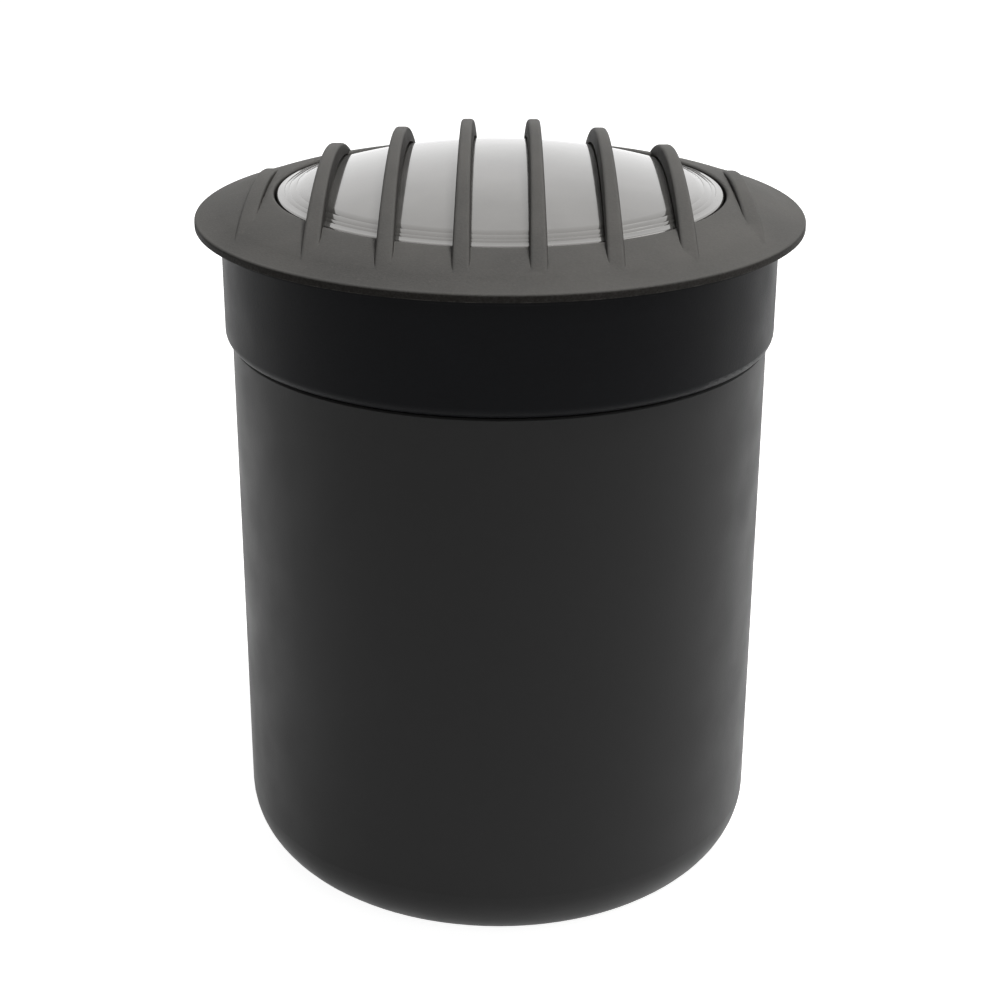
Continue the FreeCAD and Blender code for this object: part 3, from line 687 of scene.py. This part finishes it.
bar = grow(tree, "MeshCylinder",
           [("Vertices", SECTION_POINTS), ("Side Segments", size["Rib Steps"])],
           fill_type="NGON").outputs["Mesh"]
line = grow(tree, "MeshLine", [("Count", size["Ribs"])]).outputs["Mesh"]
bars = grow(tree, "InstanceOnPoints", [("Points", line), ("Instance", bar)]).outputs[0]
bars = grow(tree, "RealizeInstances", [("Geometry", bars)]).outputs[0]
index = grow(tree, "InputIndex").outputs[0]
step = maths(tree, "MODULO", index, SECTION_POINTS)
ring = maths(tree, "FLOOR", maths(tree, "DIVIDE", index, SECTION_POINTS))
rings = maths(tree, "ADD", size["Rib Steps"], 1)
rib = maths(tree, "FLOOR", maths(tree, "DIVIDE", ring, rings))
along = maths(tree, "DIVIDE", maths(tree, "MODULO", ring, rings), size["Rib Steps"])
along = maths(tree, "SUBTRACT", maths(tree, "MULTIPLY", along, 2.0), 1.0)
middle = maths(tree, "DIVIDE", maths(tree, "SUBTRACT", size["Ribs"], 1), 2.0)
rib_x = maths(tree, "MULTIPLY", maths(tree, "SUBTRACT", rib, middle), size["Rib Spacing"])
reach = maths(tree, "SUBTRACT", maths(tree, "MULTIPLY", size["Rib End"], size["Rib End"]),
              maths(tree, "MULTIPLY", rib_x, rib_x))
y = maths(tree, "MULTIPLY", along, maths(tree, "SQRT", reach))
print("points in a bar's section:", SECTION_POINTS)

# %% [markdown]
# ### The section of a bar
# The section goes up the right side, over a rounded crest and down the left side, and its last two
# points are the foot. Left and right are mirror images, so the smaller of a step and its mirror
# step gives the angle round the crest's corner, and two insets draw the point in from the corner.

# %% Round the crest
last_crest_step = 2 * CREST_STEPS + 1
left_middle = 1.5 * CREST_STEPS + 1.5
left_reach = 0.5 * CREST_STEPS + 1.0

upper = maths(tree, "LESS_THAN", step, last_crest_step + 0.5)
mirrored = maths(tree, "SUBTRACT", float(last_crest_step), step)
turn = maths(tree, "DIVIDE", maths(tree, "MINIMUM", step, mirrored), float(CREST_STEPS))
turn = maths(tree, "MULTIPLY", turn, math.pi / 2)
inset_x = maths(tree, "SUBTRACT", 1.0, maths(tree, "COSINE", turn))
inset_x = maths(tree, "MULTIPLY", maths(tree, "MULTIPLY", inset_x, upper), size["Crest Round"])
inset_z = maths(tree, "SUBTRACT", 1.0, maths(tree, "SINE", turn))
inset_z = maths(tree, "MULTIPLY", inset_z, size["Crest Round"])
from_left = maths(tree, "ABSOLUTE", maths(tree, "SUBTRACT", step, left_middle))
is_left = maths(tree, "LESS_THAN", from_left, left_reach)
side = maths(tree, "SUBTRACT", 1.0, maths(tree, "MULTIPLY", is_left, 2.0))
print("steps round each corner of the crest:", CREST_STEPS)

# %% [markdown]
# ### Heights and draft
# The crest follows one sphere, and the underside another that clears the lens. Near a bar's ends
# the underside stops at the foot inside the brim, and it never comes up to the crest. The bar's
# half width at any height follows from the width at the foot and the draft.

# %% Place the bars
def on_ball(tree, x, y, radius, centre):
    """Height of a ball's upper side above a point."""
    flat = maths(tree, "ADD", maths(tree, "MULTIPLY", x, x), maths(tree, "MULTIPLY", y, y))
    left = maths(tree, "SUBTRACT", maths(tree, "MULTIPLY", radius, radius), flat)
    return maths(tree, "ADD", maths(tree, "SQRT", left), centre)


crown_z = on_ball(tree, rib_x, y, size["Crown Radius"], size["Crown Centre"])
under_z = on_ball(tree, rib_x, y, size["Under Radius"], size["Under Centre"])
under_z = maths(tree, "MAXIMUM", under_z, size["Foot Height"])
thinnest = maths(tree, "MULTIPLY", size["Crest Round"], 2.0)
under_z = maths(tree, "MINIMUM", under_z, maths(tree, "SUBTRACT", crown_z, thinnest))
upper_z = maths(tree, "SUBTRACT", crown_z, inset_z)
z = maths(tree, "ADD", maths(tree, "MULTIPLY", upper, upper_z),
          maths(tree, "MULTIPLY", maths(tree, "SUBTRACT", 1.0, upper), under_z))
above_foot = maths(tree, "SUBTRACT", z, size["Foot Height"])
half_width = maths(tree, "SUBTRACT", size["Half Foot"],
                   maths(tree, "MULTIPLY", above_foot, size["Draft"]))
half_width = maths(tree, "SUBTRACT", half_width, inset_x)
x = maths(tree, "ADD", rib_x, maths(tree, "MULTIPLY", side, half_width))
bars = place_points(tree, bars, x, y, z)
print("bars placed, foot half width in mm:", RIB_HALF_FOOT / MM)

# %% [markdown]
# ### Bosses, and one skin
# Six bosses under the brim take the screws that clamp the head. A Mesh Boolean then joins brim,
# bars and bosses into one closed skin, as the casting is. Joining without it would leave faces
# inside, which a printed or measured model shows as faults.

# %% Join the cover
def lifted(tree, shape, height, turn=0.0):
    """Raises a shape along the axis, and turns it about the axis."""
    lift = grow(tree, "ShaderNodeCombineXYZ", [("Z", height)]).outputs[0]
    return grow(tree, "Transform", [("Geometry", shape), ("Translation", lift),
                                    ("Rotation", (0, 0, turn))]).outputs[0]


boss = grow(tree, "MeshCylinder", [
    ("Vertices", BOSS_SIDES), ("Radius", size["Boss Radius"]),
    ("Depth", size["Boss Height"])]).outputs["Mesh"]
boss_ring = grow(tree, "MeshCircle", [
    ("Vertices", size["Bosses"]), ("Radius", size["Boss Place"])]).outputs["Mesh"]
boss_middle = maths(tree, "ADD", size["Boss Bottom"],
                    maths(tree, "MULTIPLY", size["Boss Height"], 0.5))
boss_ring = lifted(tree, boss_ring, boss_middle, turn=math.pi / BOSS_COUNT)
bosses = grow(tree, "InstanceOnPoints", [("Points", boss_ring), ("Instance", boss)]).outputs[0]
bosses = grow(tree, "RealizeInstances", [("Geometry", bosses)]).outputs[0]
cast = grow(tree, "MeshBoolean", operation="UNION", solver="MANIFOLD")
for shape in (brim, bars, bosses):
    tree.links.new(shape, cast.inputs["Mesh 2"])
end_recipe(tree, smooth_by_angle(tree, cast.outputs["Mesh"], degrees=30), size, result)

# %% [markdown]
# ## Finish of the cover
# The cover is powder-coated a dark bronze grey with a fine satin tooth. Its steep sides are
# darkened nearly to black with painted shade, which leaves the tops pale, and a fine speckle and a
# few bright nicks on the edges are grain and wear. All of these are masks from the shared groups,
# so they lie on the shape itself and hold from every side.

# %% Make the cover
# The nearly black colour for steep faces is painted shade, standing in for light that falls from
# above.
cover_coat = finish("cover_coat", colour=(0.074, 0.0722, 0.069), roughness=0.55, specular=0.035,
                    grain_size=1500.0, grain_height=0.07, mottle=0.14, speckle=0.6,
                    worn=(0.16, 0.15, 0.14), wear_amount=0.35, dust_amount=0.05,
                    painted_shade_colour=(0.017, 0.0155, 0.014))
make_piece("ribbed_cover", cover_recipe, cover_coat, "head", "cover_metal", brim_outline,
           ("cover_grille",), Turns=COVER_TURNS, Ribs=RIB_COUNT, Rib_Spacing=RIB_SPACING,
           Rib_End=RIB_END, Rib_Steps=RIB_STEPS, Half_Foot=RIB_HALF_FOOT, Draft=RIB_DRAFT,
           Crest_Round=RIB_ROUND, Crown_Radius=CROWN_RADIUS, Crown_Centre=CROWN_CENTRE,
           Under_Radius=OVER_LENS_RADIUS, Under_Centre=OVER_LENS_CENTRE, Foot_Height=RIM_TOP,
           Bosses=BOSS_COUNT, Boss_Place=BOSS_PLACE, Boss_Radius=BOSS_RADIUS,
           Boss_Height=BOSS_HEIGHT, Boss_Bottom=COLLAR_TOP)

# %% [markdown]
# ## Collar and can
# The collar is a satin black moulding, and the can a plainer dark grey one with almost no texture.
# Their shapes are right as constructed, so they only get finishes. Both are kept a little duller
# than real plastic, because the white room would otherwise wash them out.

# %% Collar and can
collar_black = finish("collar_black", colour=(0.005, 0.0053, 0.0062), roughness=0.42,
                      specular=0.06, grain_size=1300.0, grain_height=0.03,
                      worn=(0.03, 0.03, 0.03), wear_amount=0.3, dust_amount=0.02)
can_grey = finish("can_grey", colour=(0.021, 0.021, 0.021), roughness=0.46, specular=0.12,
                  grain_size=1100.0, grain_height=0.02, mottle=0.05, dust_amount=0.0)
dress(collar_black, "collar")
dress(can_grey, "well_housing")
print("outer finishes: 3")

# %% [markdown]
# ## The lens
# A thick pressed-glass dome. Pressing leaves fine rings round the dome's foot and a small round on
# its edge, and these are real steps in the outline that the lathe turns, because a bump would not
# break the mirror image of the ribs as they do.

# %% Outline of the lens
LENS_BOTTOM = 201.0 * MM
LENS_SHOULDER = 205.0 * MM
LENS_RADIUS = 69.0 * MM
LENS_RAISED = 65.2 * MM
LENS_EDGE_ROUND = 0.8 * MM
LENS_CROWN = 220.0 * MM
LENS_BALL = 203.2 * MM
LENS_WALL = 4.0 * MM
LENS_HOLLOW = 59.4 * MM
RING_PLACES = (59.0 * MM, 61.2 * MM, 62.6 * MM)
RING_DEPTH = 0.16 * MM
RING_WIDTH = 0.4 * MM
DOME_STEPS = 28
LENS_TURNS = 240


def on_dome(radius, crown, ball, sink=0.0):
    """A point of a dome's outer face, or of one that lies deeper in the glass."""
    return (radius, crown - ball + math.sqrt((ball - sink) ** 2 - radius ** 2))


def lens_point(radius, sink=0.0):
    return on_dome(radius, LENS_CROWN, LENS_BALL, sink)


lens_outline = [lens_point(RING_PLACES[0] * i / DOME_STEPS) for i in range(DOME_STEPS)]
for ring_place in RING_PLACES:
    lens_outline += [lens_point(ring_place), lens_point(ring_place + RING_WIDTH / 2, RING_DEPTH),
                     lens_point(ring_place + RING_WIDTH)]
edge_radius, edge_height = lens_point(LENS_RAISED - LENS_EDGE_ROUND)
lens_outline += arc((edge_radius, edge_height - LENS_EDGE_ROUND), LENS_EDGE_ROUND, 90, 0)
lens_outline += [(LENS_RAISED, LENS_SHOULDER), (LENS_RADIUS, LENS_SHOULDER),
                 (LENS_RADIUS, LENS_BOTTOM), (LENS_HOLLOW, LENS_BOTTOM)]
lens_outline += [lens_point(LENS_HOLLOW * (1 - i / DOME_STEPS), LENS_WALL)
                 for i in range(DOME_STEPS + 1)]
print("points in the lens's outline:", len(lens_outline))

# %% [markdown]
# ### Pressed glass
# Seen from the side, the frosted dome acts mostly as a mirror for the bright room, and the bars
# stand dark in it. Clear glass with a frosted inner face would need many light bounces for the
# same look, so the body is a dim grey, and a strong polish over it does the rest.

# %% Make the lens
pressed_glass, tree = blank_material("pressed_glass")
place = object_place(tree)
skin = use_group(tree, grain, Place=place, Size=500.0)
tone = spread(tree, skin["Mottle"], **MIDDLE)
glass_body = blend_colours(tree, tone, (0.040, 0.0385, 0.036), (0.060, 0.0580, 0.0545))
dust_mask = use_group(tree, dust, Place=place, Amount=0.10)["Mask"]
haze = noise(tree, place, scale=38.0, detail=5.0, roughness=0.6)
shader = add(tree, "BsdfPrincipled")
for socket, value in (
        ("Base Color", blend_colours(tree, dust_mask, glass_body, (0.45, 0.44, 0.42))),
        ("Roughness", spread(tree, haze, low=0.35, high=0.7, to_low=0.10, to_high=0.20)),
        ("Normal", bump(tree, haze, 0.12 * MM)), ("Specular Tint", (1.0, 0.97, 0.93)),
        ("IOR", 2.2), ("Coat Weight", 1.0), ("Coat IOR", 1.55), ("Coat Roughness", 0.04)):
    feed(tree, shader.inputs[socket], value)
show(tree, shader)
make_piece("glass_dome", lathe, pressed_glass, "head", "lens_glass", lens_outline, ("lens",),
           Turns=LENS_TURNS)

# %% [markdown]
# ## Everything inside
# These pieces show when the head is lifted: plated steel, brass, rubber and nylon. Each is one
# call of the finish helper. Metals keep their colour in the reflection, so they get a bright base
# and full metallic, and what tells zinc plate from stainless steel is mostly how rough it is.

# %% Metals
zinc = finish("zinc_plate", colour=(0.55, 0.55, 0.54), roughness=0.33, metallic=1.0,
              grain_size=400.0, grain_height=0.02, mottle=0.12)
stainless = finish("stainless", colour=(0.58, 0.58, 0.59), roughness=0.25, metallic=1.0,
                   grain_size=700.0, grain_height=0.01, mottle=0.08, dust_amount=0.03)
brass = finish("brass", colour=(0.72, 0.52, 0.22), roughness=0.28, metallic=1.0,
               grain_size=700.0, grain_height=0.01, mottle=0.10, dust_amount=0.03)
reflector = finish("reflector", colour=(0.86, 0.86, 0.86), roughness=0.12, metallic=1.0,
                   grain_size=300.0, grain_height=0.01, mottle=0.03, dust_amount=0.0)
dress(zinc, "bridge_strap", "yoke_bracket", "lamp_clips")
dress(stainless, "bridge_screws", "swivel_bolt", "swivel_spacer", "swivel_washer",
      "swivel_lock_nut", "head_screws", "clip_screws")
dress(brass, "terminal_block_screws", "lamp_terminals")
dress(reflector, "lamp_shell")
print("metals: 4")

# %% Paint, rubber and plastics
black_paint = finish("holder_paint", colour=(0.018, 0.018, 0.018), roughness=0.40,
                     grain_size=1200.0, grain_height=0.04, worn=(0.3, 0.3, 0.3),
                     wear_amount=0.4, dust_amount=0.08)
rubber = finish("black_rubber", colour=(0.012, 0.012, 0.012), roughness=0.75, specular=0.3,
                grain_size=600.0, dust_amount=0.10)
nylon = finish("black_nylon", colour=(0.022, 0.022, 0.022), roughness=0.45, grain_size=800.0,
               grain_height=0.02, dust_amount=0.08)
ivory = finish("ivory_plastic", colour=(0.60, 0.57, 0.49), roughness=0.45, grain_size=800.0,
               grain_height=0.01, mottle=0.04)
knob_black = finish("knob_black", colour=(0.014, 0.014, 0.014), roughness=0.40,
                    grain_height=0.03)
dress(black_paint, "lamp_holder_ring")
dress(rubber, "neck_o_ring", "gland_seal", "gland_washer", "lens_upper_gasket",
      "lens_lower_gasket")
dress(nylon, "gland_body", "gland_cap", "gland_locknut")
dress(ivory, "terminal_block")
dress(knob_black, "left_tilt_knob", "right_tilt_knob")
print("paint, rubber and plastics: 5")

# %% [markdown]
# ## Clear glass
# The lamp is sealed in real clear glass, so here the light does pass. Moulded glass is a little
# uneven, and a stippled noise sets both its roughness and its bump.

# %% Clear glass
clear_glass, tree = blank_material("clear_glass")
stipple = noise(tree, object_place(tree), scale=260.0, detail=1.0)
shader = add(tree, "BsdfPrincipled")
for socket, value in (
        ("Base Color", (0.93, 0.95, 0.95)), ("Transmission Weight", 1.0),
        ("Roughness", spread(tree, stipple, **MIDDLE, to_low=0.05, to_high=0.14)),
        ("Normal", bump(tree, stipple, 0.4 * MM))):
    feed(tree, shader.inputs[socket], value)
show(tree, shader)
print("material:", clear_glass.name)

# %% [markdown]
# ## The lamp's face
# A sealed-beam lamp spreads its light with flutes pressed into the inner side of its face. They
# repeat round the axis and along the radius, so the lathe's points are pushed down by a product
# of two waves, on the inner face only. A point is on the inner face where it is nearer to the
# dome's centre than the middle of the glass.

# %% Outline of the lamp's face
LAMP_RADIUS = 55.6 * MM
FACE_BOTTOM = 152.5 * MM
FACE_BAND = 155.3 * MM
FACE_DOME = 52.2 * MM
FACE_CROWN = 160.3 * MM
FACE_BALL = 275.0 * MM
FACE_WALL = 2.2 * MM
FACE_HOLLOW = 50.0 * MM
FLUTE_RINGS = 7
FLUTE_SPOKES = 24
FLUTE_DEPTH = 0.9 * MM
STEPS_PER_RING = 6
FACE_TURNS = 192

face_outline = [on_dome(FACE_DOME * i / DOME_STEPS, FACE_CROWN, FACE_BALL)
                for i in range(DOME_STEPS)]
face_outline += [(FACE_DOME, FACE_BAND), (LAMP_RADIUS, FACE_BAND), (LAMP_RADIUS, FACE_BOTTOM),
                 (FACE_HOLLOW, FACE_BOTTOM)]
inner_steps = FLUTE_RINGS * STEPS_PER_RING
face_outline += [on_dome(FACE_HOLLOW * (1 - i / inner_steps), FACE_CROWN, FACE_BALL, FACE_WALL)
                 for i in range(inner_steps + 1)]
print("points in the face's outline:", len(face_outline))

# %% Recipe of the fluted face
fluted, inlet, result = new_recipe("fluted_face", [
    ("Turns", "Int"), ("Rings", "Int"), ("Spokes", "Int"), ("Flute Depth", "Float"),
    ("Hollow Radius", "Float"), ("Ball Radius", "Float"), ("Ball Centre", "Float"),
    ("Wall", "Float")])
tree = fluted
size = inlet.outputs
face = lathe_shape(tree, size["Outline"], size["Turns"])
position = grow(tree, "InputPosition").outputs[0]
spot = grow(tree, "ShaderNodeSeparateXYZ", [(0, position)]).outputs
flat = maths(tree, "ADD", maths(tree, "MULTIPLY", spot["X"], spot["X"]),
             maths(tree, "MULTIPLY", spot["Y"], spot["Y"]))
rise = maths(tree, "SUBTRACT", spot["Z"], size["Ball Centre"])
from_ball = maths(tree, "SQRT", maths(tree, "ADD", flat, maths(tree, "MULTIPLY", rise, rise)))
middle_of_glass = maths(tree, "SUBTRACT", size["Ball Radius"],
                        maths(tree, "MULTIPLY", size["Wall"], 0.5))
is_inner = maths(tree, "LESS_THAN", from_ball, middle_of_glass)
wave = maths(tree, "DIVIDE", maths(tree, "MULTIPLY", maths(tree, "SQRT", flat), size["Rings"]),
             size["Hollow Radius"])
ring_wave = maths(tree, "SINE", maths(tree, "MULTIPLY", wave, math.pi))
turn = maths(tree, "MULTIPLY", maths(tree, "ARCTAN2", spot["Y"], spot["X"]), size["Spokes"])
spoke_wave = maths(tree, "SINE", maths(tree, "MULTIPLY", turn, 0.5))
push = maths(tree, "MULTIPLY", maths(tree, "ABSOLUTE", ring_wave),
             maths(tree, "ABSOLUTE", spoke_wave))
push = maths(tree, "MULTIPLY", maths(tree, "MULTIPLY", push, is_inner), size["Flute Depth"])
face = place_points(tree, face, spot["X"], spot["Y"], maths(tree, "SUBTRACT", spot["Z"], push))
end_recipe(tree, smooth_by_angle(tree, face, degrees=50), size, result)

# %% Make the lamp's face
make_piece("fluted_face", fluted, clear_glass, "lamp", "lamp_glass", face_outline,
           ("lamp_face_lens",), Turns=FACE_TURNS, Rings=FLUTE_RINGS, Spokes=FLUTE_SPOKES,
           Flute_Depth=FLUTE_DEPTH, Hollow_Radius=FACE_HOLLOW, Ball_Radius=FACE_BALL,
           Ball_Centre=FACE_CROWN - FACE_BALL, Wall=FACE_WALL)

# %% [markdown]
# ## The burner
# Behind the face stands a small glass capsule, turned by the same lathe. In it is the filament: a
# spiral curve that is given a round section, so the wire is real geometry and catches the light.

# %% Recipe of the filament
COIL_STEPS = 24
WIRE_SIDES = 8

coil, inlet, result = new_recipe("filament", [
    ("Turns", "Float"), ("Coil Radius", "Float"), ("Coil Height", "Float"), ("Bottom", "Float"),
    ("Wire Radius", "Float")])
tree = coil
size = inlet.outputs
spiral = grow(tree, "CurveSpiral", [
    ("Resolution", COIL_STEPS), ("Rotations", size["Turns"]),
    ("Start Radius", size["Coil Radius"]), ("End Radius", size["Coil Radius"]),
    ("Height", size["Coil Height"])]).outputs[0]
section = grow(tree, "CurvePrimitiveCircle", [
    ("Resolution", WIRE_SIDES), ("Radius", size["Wire Radius"])]).outputs["Curve"]
wire = grow(tree, "CurveToMesh", [("Curve", spiral), ("Profile Curve", section),
                                  ("Fill Caps", True)]).outputs[0]
wire = lifted(tree, wire, size["Bottom"])
end_recipe(tree, smooth_by_angle(tree, wire, degrees=50), size, result)

# %% Make the capsule and the filament
CAPSULE_RADIUS = 4.5 * MM
CAPSULE_BOTTOM = 114.1 * MM
CAPSULE_TOP = 134.0 * MM
CAPSULE_FOOT = 3.0 * MM
CAPSULE_TURNS = 48
FILAMENT_TURNS = 9.0
FILAMENT_RADIUS = 1.2 * MM
FILAMENT_HEIGHT = 6.0 * MM
FILAMENT_BOTTOM = 121.0 * MM
WIRE_RADIUS = 0.16 * MM

capsule_outline = arc((0, CAPSULE_TOP - CAPSULE_RADIUS), CAPSULE_RADIUS, 90, 0) + [
    (CAPSULE_RADIUS, CAPSULE_BOTTOM + 2 * CAPSULE_FOOT),
    (CAPSULE_FOOT, CAPSULE_BOTTOM + CAPSULE_FOOT),
    (CAPSULE_FOOT, CAPSULE_BOTTOM), (0, CAPSULE_BOTTOM)]
make_piece("lamp_capsule", lathe, clear_glass, "lamp", "lamp_glass", capsule_outline,
           Turns=CAPSULE_TURNS)
make_piece("lamp_filament", coil, stainless, "lamp", "screw_steel", Turns=FILAMENT_TURNS,
           Coil_Radius=FILAMENT_RADIUS, Coil_Height=FILAMENT_HEIGHT, Bottom=FILAMENT_BOTTOM,
           Wire_Radius=WIRE_RADIUS)
